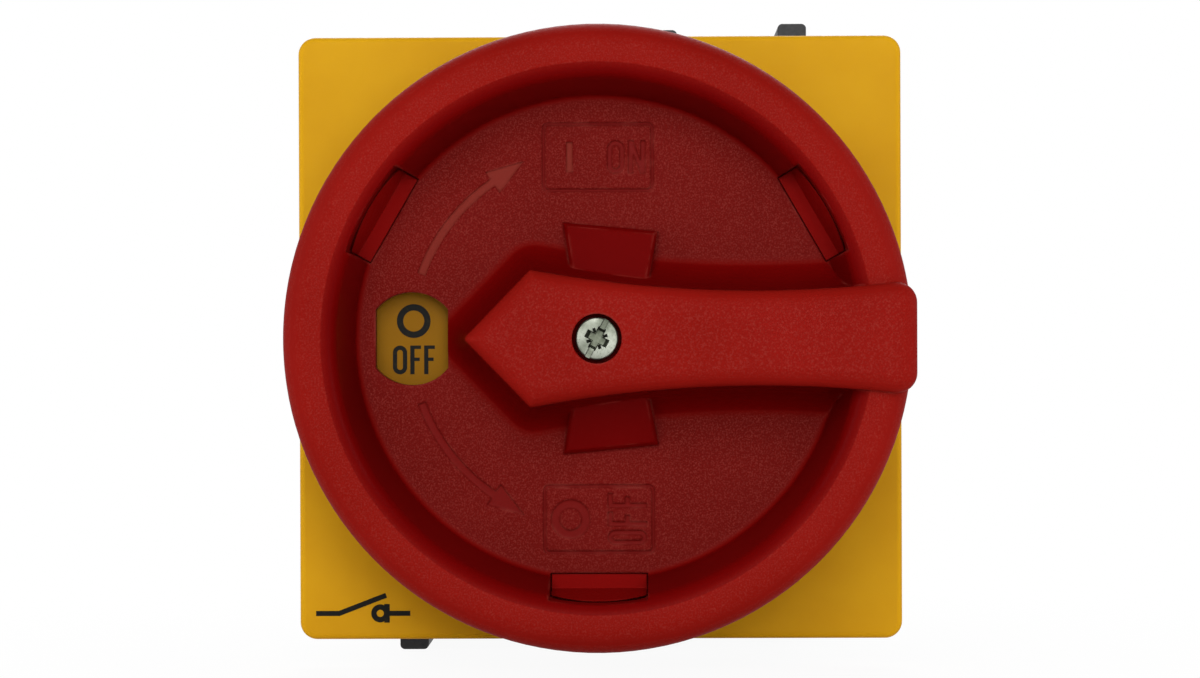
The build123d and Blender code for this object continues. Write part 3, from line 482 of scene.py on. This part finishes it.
def coil(first, last, radius, wire, turns, steps=20, sides=8):
    """A coil spring of round wire between two points, with a closed turn at each end."""
    axis = last - first
    length = axis.length
    axis = axis / length
    side = axis.orthogonal().normalized()
    up = axis.cross(side)
    build = bmesh.new()
    rings = []
    count = int(turns * steps)
    for i in range(count + 1):
        turn = i / steps
        open_share = min(max((turn - 1) / (turns - 2), 0), 1)
        rise = wire / 2 + min(turn, 1) * wire * 0.9
        rise += open_share * (length - wire - 1.8 * wire) + max(turn - (turns - 1), 0) * wire * 0.9
        out = math.cos(2 * math.pi * turn) * side + math.sin(2 * math.pi * turn) * up
        middle = first + axis * min(rise, length - wire / 2) + out * (radius - wire / 2)
        section = []
        for k in range(sides):
            angle = 2 * math.pi * k / sides
            spot = middle + (math.cos(angle) * out + math.sin(angle) * axis) * wire / 2
            section.append(build.verts.new(spot))
        rings.append(section)
    for near, far in zip(rings, rings[1:]):
        for k in range(sides):
            build.faces.new((near[k], near[(k + 1) % sides], far[(k + 1) % sides], far[k]))
    build.faces.new(rings[0])
    build.faces.new(list(reversed(rings[-1])))
    bmesh.ops.recalc_face_normals(build, faces=build.faces)
    mesh = bpy.data.meshes.new("coil")
    build.to_mesh(mesh)
    build.free()
    for polygon in mesh.polygons:
        polygon.use_smooth = len(polygon.vertices) == 4
    return mesh


def spring_between(node, axis, wire, turns):
    """Put a coil in the space of a spring's CAD node, from the body that holds it to the one it pushes."""
    low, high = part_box(node)
    middle = (low + high) / 2
    ends = [middle.copy(), middle.copy()]
    way = 0 if axis.x else 1
    forward = (axis.x or axis.y) > 0
    ends[0][way] = low[way] if forward else high[way]
    ends[1][way] = high[way] if forward else low[way]
    radius = (high.z - low.z) / 2
    mesh = coil(ends[0], ends[1], radius, wire, turns)
    mesh.materials.append(spring_steel)
    made = bpy.data.objects.new("coil_" + node, mesh)
    bpy.context.scene.collection.objects.link(made)
    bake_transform(made)
    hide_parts(node)


for number in (1, 2, 3):
    spring_between(f"lock_spring_{number}", Vector((0, -1, 0)),
                   wire=0.00025, turns=11)


# Ring under the knob
# A thin black ring, staked over three pins of the knob: the floor that the slide springs stand on.
# It is moulded in glass-filled polyamide like the housings behind the panel.

black_plastic = moulded(
    "black_plastic", colour=(0.016, 0.016, 0.018, 1), deep=(0.011, 0.011, 0.012, 1),
    rubbed=(0.07, 0.07, 0.075, 1), gloss=0.52, shine=0.30, grain=0.00045, grain_depth=0.00002)
dress(black_plastic, "slide_retainer")


# Bush, shaft and handle screw
# The square steel shaft turns in a brass bush in the knob. A zinc-plated screw through the grip,
# on a thin washer, holds the knob to the shaft's tapped end.

def plated_steel(name, colour, milky, dark, bright, gloss):
    """Plated metal: a milky coat, cloudy with handling, darker in its scratches, bright on its edges."""
    material, tree, surface, place = blank(name)
    rounded, edge = edges(tree, radius=0.00008)
    haze = spread(tree, mottle(tree, place, 0.0016, 4.0), 0.38, 0.66, 0.0, 1.0)
    scratches = spread(tree, mottle(tree, place, 0.00012, 3.0), 0.60, 0.72, 0.0, 0.6)
    body = tint(tree, haze, colour, milky)
    body = tint(tree, scratches, body, dark)
    wire_up(surface.inputs["Base Color"], tint(tree, product(tree, edge, 0.6), body, bright))
    wire_up(surface.inputs["Roughness"], spread(tree, haze, 0.0, 1.0, gloss - 0.08, gloss + 0.10))
    surface.inputs["Metallic"].default_value = 1.0
    bump = {"Height": scratches, "Strength": 0.35, "Distance": 0.00001, "Normal": rounded}
    wire_up(surface.inputs["Normal"], add(tree, "Bump", bump).outputs[0])
    return material


def grime_in(material, level, recess_shade, depth):
    """Painted shade: a darker colour laid in a recess below a level along the front direction."""
    tree = material.node_tree
    surface = tree.nodes["Principled BSDF"]
    place = add(tree, "TexCoord", {}).outputs["Object"]
    y = add(tree, "SeparateXYZ", {0: place}).outputs["Y"]
    share = product(tree, spread(tree, y, level, level + depth, 0.0, 1.0),
                    spread(tree, mottle(tree, place, 0.0004, 3.0), 0.3, 0.6, 0.75, 1.0))
    clean = surface.inputs["Base Color"].links[0].from_socket
    wire_up(surface.inputs["Base Color"], tint(tree, share, clean, recess_shade))


zinc_steel = plated_steel(
    "zinc_steel", colour=(0.50, 0.52, 0.47, 1), milky=(0.34, 0.36, 0.31, 1), dark=(0.12, 0.13, 0.10, 1),
    bright=(0.62, 0.63, 0.60, 1), gloss=0.36)
dress(zinc_steel, "screw_washer", "shaft")


def lathe(outline, steps=48):
    """A closed turned body from (radius, height) points that begin and end on the axis."""
    build = bmesh.new()
    rings = []
    for r, level in outline:
        if r == 0:
            rings.append([build.verts.new((0, 0, level))] * steps)
        else:
            angles = [2 * math.pi * i / steps for i in range(steps)]
            rings.append([build.verts.new((r * math.cos(a), r * math.sin(a), level)) for a in angles])
    for low, high in zip(rings, rings[1:]):
        for i in range(steps):
            corners = (low[i], low[(i + 1) % steps], high[(i + 1) % steps], high[i])
            build.faces.new(list(dict.fromkeys(corners)))
    bmesh.ops.recalc_face_normals(build, faces=build.faces)
    mesh = bpy.data.meshes.new("lathe")
    build.to_mesh(mesh)
    build.free()
    return mesh


def tapered_bar(reach, foot_reach, width, top, depth, angle):
    """A driver blade: a bar through the axis, turned about it, that narrows to its foot."""
    build = bmesh.new()
    over = 0.001
    foot_share = 0.7
    corners = []
    for level, half, side in ((top - depth, foot_reach, foot_share * width / 2),
                              (top + over, reach, width / 2)):
        spots = ((-half, -side), (half, -side), (half, side), (-half, side))
        corners.append([build.verts.new((x, y, level)) for x, y in spots])
    low, high = corners
    build.faces.new(low[::-1])
    build.faces.new(high)
    for i in range(4):
        build.faces.new((low[i], low[(i + 1) % 4], high[(i + 1) % 4], high[i]))
    build.transform(Matrix.Rotation(math.radians(angle), 4, "Z"))
    mesh = bpy.data.meshes.new("blade")
    build.to_mesh(mesh)
    build.free()
    return mesh


def carved(mesh, cutters):
    """The mesh with each cutter's room taken out of it, and no slivers left."""
    body = bpy.data.objects.new("carved", mesh)
    bpy.context.scene.collection.objects.link(body)
    tools = []
    for cutter in cutters:
        tool = bpy.data.objects.new("cutter", cutter)
        bpy.context.scene.collection.objects.link(tool)
        tools.append(tool)
        cut = body.modifiers.new("cut", "BOOLEAN")
        cut.object = tool
        cut.operation = "DIFFERENCE"
        cut.solver = "EXACT"
    settled = body.evaluated_get(bpy.context.evaluated_depsgraph_get())
    result = bpy.data.meshes.new_from_object(settled)
    for spare in tools + [body]:
        bpy.data.objects.remove(spare)
    build = bmesh.new()
    build.from_mesh(result)
    bmesh.ops.triangulate(build, faces=build.faces)
    bmesh.ops.dissolve_degenerate(build, dist=1e-7, edges=build.edges[:])
    build.to_mesh(result)
    build.free()
    return result


def smooth_turned(mesh, limit=30.0):
    """Smooth the shading of a mesh where its faces meet at less than an angle."""
    mesh.shade_smooth()
    mesh.set_sharp_from_angle(angle=math.radians(limit))
    return mesh


screw_low, screw_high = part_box("handle_screw")
head_r = 0.00203
head_height = 0.0017
head_edge = 0.0002
shank_r = 0.00120
seat = screw_low.y + head_height
head_burr = 0.0001
head_crown = 0.00003
slot_turn = 62.0
under_head = screw_high.y - seat
outline = [(0, 0), (shank_r, 0), (shank_r, under_head), (head_r - head_burr, under_head),
           (head_r, under_head + head_burr)]
dome_start = screw_high.y - screw_low.y - head_edge
for i in range(7):
    bend = math.radians(15 * i)
    outline.append((head_r - head_edge * (1 - math.cos(bend)),
                    dome_start + 0.8 * head_edge * math.sin(bend)))
head_top = dome_start + head_edge
outline += [(0.6 * head_r, head_top - head_crown), (0, head_top)]
blades = [tapered_bar(reach=0.003, foot_reach=0.003, width=0.00070, top=head_top, depth=0.00042,
                      angle=slot_turn)]
for quarter in (0, 90):
    blades.append(tapered_bar(reach=0.00145, foot_reach=0.00080, width=0.00090, top=head_top,
                              depth=0.0012, angle=slot_turn + quarter))
    blades.append(tapered_bar(reach=0.00165, foot_reach=0.00060, width=0.00034, top=head_top,
                              depth=0.00075, angle=slot_turn + 45 + quarter))
stand = Matrix.Translation((0, screw_high.y, 0)) @ Matrix.Rotation(math.radians(90), 4, "X")
screw_mesh = smooth_turned(carved(lathe(outline), blades))
screw_finish = plated_steel(
    "screw_finish", colour=(0.185, 0.196, 0.165, 1), milky=(0.110, 0.122, 0.094, 1),
    dark=(0.04, 0.048, 0.034, 1), bright=(0.42, 0.42, 0.38, 1), gloss=0.42)
# Painted shade darkens the cross recess of the screw head.
grime_in(screw_finish, level=screw_low.y + 0.00012, recess_shade=(0.075, 0.083, 0.060, 1), depth=0.00045)
screw = piece("cross_slot_screw", screw_mesh, screw_finish, "handle", stand)
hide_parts("handle_screw")

turned_brass = plated_steel(
    "turned_brass", colour=(0.68, 0.48, 0.19, 1), milky=(0.56, 0.38, 0.14, 1), dark=(0.24, 0.15, 0.05, 1),
    bright=(0.78, 0.58, 0.28, 1), gloss=0.30)
dress(turned_brass, "drive_bush")


# Plate screws, flange and its nuts
# Behind the panel a black flange with four square nuts takes the plate screws.
# The flange is glass-filled polyamide, dull and slightly rough.

def thread(r_out, r_in, pitch, start, end, steps=24, rows_a_turn=8):
    """A screw thread between two levels, as a closed body round the axis."""
    build = bmesh.new()
    count = int(round((end - start) / pitch * rows_a_turn))
    rows = []
    for row in range(count + 1):
        level = start + (end - start) * row / count
        spots = []
        for i in range(steps):
            phase = (level / pitch - i / steps) % 1
            r = r_in + (r_out - r_in) * min(1, 1.35 * (1 - abs(2 * phase - 1)))
            a = 2 * math.pi * i / steps
            spots.append(build.verts.new((r * math.cos(a), r * math.sin(a), level)))
        rows.append(spots)
    for low, high in zip(rows, rows[1:]):
        for i in range(steps):
            build.faces.new((low[i], low[(i + 1) % steps], high[(i + 1) % steps], high[i]))
    build.faces.new(rows[0][::-1])
    build.faces.new(rows[-1])
    mesh = bpy.data.meshes.new("thread")
    build.to_mesh(mesh)
    build.free()
    return mesh


def joined(meshes):
    """Several meshes as one."""
    build = bmesh.new()
    for mesh in meshes:
        build.from_mesh(mesh)
    result = bpy.data.meshes.new("joined")
    build.to_mesh(result)
    build.free()
    return result


screws_low, screws_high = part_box("plate_screws")
plate_screw_r = 0.0020
plate_core_r = 0.0016
plate_head_r = 0.00375
plate_pitch = 0.0007
plate_head_depth = plate_head_r - plate_screw_r
half_pitch = screws_high.x - plate_head_r
plate_head_rim = 0.0001
neck_length = 0.0004
thread_overlap = 0.0001
top = -screws_low.y
foot = -screws_high.y
head_foot = top - plate_head_depth
outline = [(0, head_foot - neck_length), (plate_core_r, head_foot - neck_length), (plate_screw_r, head_foot),
           (plate_head_r, top - plate_head_rim), (plate_head_r, top), (0, top)]
blades = [tapered_bar(reach=0.0022, foot_reach=0.0011, width=0.0008, top=top, depth=0.0014, angle=quarter)
          for quarter in (0, 90)]
one = joined([carved(lathe(outline), blades),
              thread(plate_screw_r, plate_core_r, plate_pitch, foot,
                     head_foot - neck_length + thread_overlap)])
four = []
for side in (-1, 1):
    for level in (-1, 1):
        copy = one.copy()
        shift = Matrix.Translation((side * half_pitch, 0, level * half_pitch))
        copy.transform(shift @ Matrix.Rotation(math.radians(90), 4, "X"))
        four.append(copy)
screws = piece("threaded_plate_screws", smooth_turned(joined(four)), zinc_steel, "base")
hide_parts("plate_screws")
dress(zinc_steel, "flange_nuts")
dress(black_plastic, "mounting_flange")


# Snap action
# A pale star wheel on the shaft drops into place between two flat steel springs. They lie in a black
# moulded housing, which the tie bolts hold between the flange and the first chamber.

pale_plastic = moulded(
    "pale_plastic", colour=(0.66, 0.63, 0.55, 1), deep=(0.58, 0.55, 0.47, 1),
    rubbed=(0.75, 0.73, 0.67, 1), gloss=0.36, shine=0.35, grain=0.0006, grain_depth=0.000008)
dress(black_plastic, "detent_housing")
dress(pale_plastic, "detent_wheel")
dress(spring_steel, "detent_spring_1", "detent_spring_2")


# Switching chambers
# Two black trays, each with a pale cam on the shaft, two pale plungers that carry copper bridges,
# four copper strips out to the terminals, and a coil spring behind each plunger.

def rolled_copper(name, colour, tarnish, gloss):
    """Bare copper strip with the lines of its rolling and a brown bloom."""
    material, tree, surface, place = blank(name)
    bloom = spread(tree, mottle(tree, place, 0.0020, 5.0), 0.44, 0.66, 0.0, 1.0)
    stretched = add(tree, "Mapping", {0: place, 3: (1.0, 1.0, 0.12)}).outputs[0]
    lines = mottle(tree, stretched, 0.00009, 2.0)
    wire_up(surface.inputs["Base Color"], tint(tree, bloom, colour, tarnish))
    wire_up(surface.inputs["Roughness"], spread(tree, lines, 0.3, 0.7, gloss - 0.08, gloss + 0.08))
    surface.inputs["Metallic"].default_value = 1.0
    bump = {"Height": lines, "Strength": 0.3, "Distance": 0.000008}
    wire_up(surface.inputs["Normal"], add(tree, "Bump", bump).outputs[0])
    return material


copper = rolled_copper("copper", colour=(0.72, 0.36, 0.20, 1), tarnish=(0.42, 0.19, 0.10, 1), gloss=0.34)
for stage_name in ("front", "rear"):
    dress(black_plastic, f"chamber_{stage_name}")
    dress(pale_plastic, f"cam_{stage_name}")
    for hand, outward in (("right", 1), ("left", -1)):
        at = f"{stage_name}_{hand}"
        dress(pale_plastic, f"plunger_{at}")
        dress(copper, f"contact_bridge_{at}", f"fixed_contact_{at}_top", f"fixed_contact_{at}_bottom")
        spring_between(f"contact_spring_{at}", Vector((-outward, 0, 0)),
                       wire=0.0005, turns=4.5)


# Terminals
# Each copper strip ends in a zinc-plated steel box clamp with a slotted screw, let into its tray.
# Plain numbers, moulded with the tray, are raised beside the screws.

dress(zinc_steel, "terminal_clamps_front", "terminal_clamps_rear")
dress(zinc_steel, "terminal_screws_front", "terminal_screws_rear")


def number_mesh(text, height, depth):
    """A plain number of a given height, as a thin slab."""
    outline = bpy.data.curves.new("number", "FONT")
    outline.body = text
    outline.align_x = "CENTER"
    outline.align_y = "CENTER"
    outline.extrude = depth / 2
    outline.resolution_u = 4
    writer = bpy.data.objects.new("number", outline)
    mesh = bpy.data.meshes.new_from_object(writer)
    bpy.data.objects.remove(writer)
    ys = [v.co.y for v in mesh.vertices]
    size = height / (max(ys) - min(ys))
    mesh.transform(Matrix.Diagonal((size, size, 1, 1)))
    return mesh


number_height = 0.0024
number_rise = 0.00025
number_inward = 0.0056
terminal_head_r = 0.0026
number = 0
for stage_name in ("front", "rear"):
    tray_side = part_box(f"chamber_{stage_name}")[1].x
    head_low, head_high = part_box(f"terminal_screws_{stage_name}")
    level = head_high.z - terminal_head_r
    depth_at = (head_low.y + head_high.y) / 2
    for hand, outward in (("right", 1), ("left", -1)):
        for row, way in (("top", 1), ("bottom", -1)):
            number += 1
            spot = (outward * (tray_side + number_rise / 2), depth_at, way * (level - number_inward))
            numeral = number_mesh(str(number), number_height, number_rise)
            piece(f"number_{stage_name}_{hand}_{row}", numeral, black_plastic, "base",
                  facing_out(spot, (outward, 0, 0)))


# Rear cover and tie bolts
# A black moulded cover closes the last chamber. Two long zinc-plated bolts with nuts run through
# the cover, the chambers and the housing, and hold the whole stack to the flange.

dress(black_plastic, "rear_cover")
dress(zinc_steel, "tie_bolts", "tie_nuts")


# Studio
# The switch stands on its ribs on a pale floor that runs out to white. Broad soft lamps light it
# from above, in front and both sides, and one from behind.

def stand_in(name, mesh, material):
    """A piece of the studio."""
    mesh.materials.append(material)
    made = bpy.data.objects.new(name, mesh)
    bpy.context.scene.collection.objects.link(made)
    return made


def unlit(tree):
    """A share that is 1 for what the camera, a mirror or glass sees, and 0 for light on the object."""
    path = add(tree, "LightPath", {}).outputs
    seen = add(tree, "Math", {0: path["Is Camera Ray"], 1: path["Is Glossy Ray"]}, operation="MAXIMUM")
    seen = add(tree, "Math", {0: seen.outputs[0], 1: path["Is Transmission Ray"]}, operation="MAXIMUM")
    return seen.outputs[0]


def floor_finish():
    """Pale matt floor that keeps the shadow near the object and fades to white round it."""
    material, tree, surface, place = blank("floor_white")
    near_edge = 0.045
    far_edge = 0.115
    away = add(tree, "VectorMath", {0: place}, operation="LENGTH").outputs["Value"]
    fade = spread(tree, away, near_edge, far_edge, 0.94, 1.0)
    patches = mottle(tree, place, 0.05)
    wire_up(surface.inputs["Base Color"], tint(tree, patches, (0.86, 0.86, 0.86, 1), (0.90, 0.90, 0.90, 1)))
    surface.inputs["Roughness"].default_value = 0.8
    surface.inputs["Specular IOR Level"].default_value = 0.1
    glow = add(tree, "Emission", {"Color": (1, 1, 1, 1), "Strength": 1.0}).outputs[0]
    share = product(tree, fade, unlit(tree))
    both = add(tree, "MixShader", {0: share, 1: surface.outputs[0], 2: glow}).outputs[0]
    wire_up(tree.nodes["Material Output"].inputs["Surface"], both)
    return material


floor_half = 3.0
floor_thickness = 0.002
floor_mesh = slab([bar(-floor_half, floor_half, -floor_half, floor_half)], floor_thickness)
floor = stand_in("floor", floor_mesh, floor_finish())
floor.location = (0, 0, cad_box[0].z - floor_thickness / 2)

world = bpy.data.worlds.new("studio")
bpy.context.scene.world = world
world.use_nodes = True
sky = world.node_tree
ambient = 0.28
room = add(sky, "Background", {"Color": (1, 1, 1, 1), "Strength": ambient}).outputs[0]
white = add(sky, "Background", {"Color": (1, 1, 1, 1), "Strength": 1.0}).outputs[0]
both = add(sky, "MixShader", {0: unlit(sky), 1: room, 2: white}).outputs[0]
wire_up(sky.nodes["World Output"].inputs["Surface"], both)


def lamp(name, azimuth, elevation, distance, size, power):
    """A broad soft lamp that looks at the object; azimuth 0 is in front of it and 90 at its right."""
    turn = math.radians(azimuth)
    rise = math.radians(elevation)
    spot = Vector((math.sin(turn) * math.cos(rise), -math.cos(turn) * math.cos(rise), math.sin(rise)))
    data = bpy.data.lights.new(name, "AREA")
    data.shape = "DISK"
    data.size = size
    data.energy = power
    made = bpy.data.objects.new(name, data)
    made.location = spot * distance
    made.rotation_euler = (-spot).to_track_quat("-Z", "Y").to_euler()
    bpy.context.scene.collection.objects.link(made)


lamp("key_lamp", azimuth=-6, elevation=20, distance=0.55, size=0.36, power=1.60)
lamp("front_lamp", azimuth=10, elevation=7, distance=0.80, size=0.24, power=1.25)
lamp("left_lamp", azimuth=-80, elevation=18, distance=0.70, size=0.45, power=1.6)
lamp("right_lamp", azimuth=80, elevation=18, distance=0.70, size=0.45, power=1.6)
lamp("back_lamp", azimuth=180, elevation=38, distance=0.80, size=0.60, power=4.2)

camera_distance = 0.38
camera_azimuth = 0.80
camera_elevation = 0.25
camera_roll = 0.2
aim = Vector((0, -plate_thickness, -0.00013))
camera_data = bpy.data.cameras.new("camera")
camera_data.sensor_width = 36.0
camera_data.lens = 114.5
camera = bpy.data.objects.new("camera", camera_data)
bpy.context.scene.collection.objects.link(camera)
turn = math.radians(camera_azimuth)
rise = math.radians(camera_elevation)
back = Vector((math.sin(turn) * math.cos(rise), -math.cos(turn) * math.cos(rise), math.sin(rise)))
camera.location = aim + back * camera_distance
level_look = (-back).to_track_quat("-Z", "Y").to_matrix()
camera.rotation_euler = (level_look @ Matrix.Rotation(math.radians(-camera_roll), 3, "Z")).to_euler()
bpy.context.scene.camera = camera
bpy.context.scene.view_settings.view_transform = "Standard"
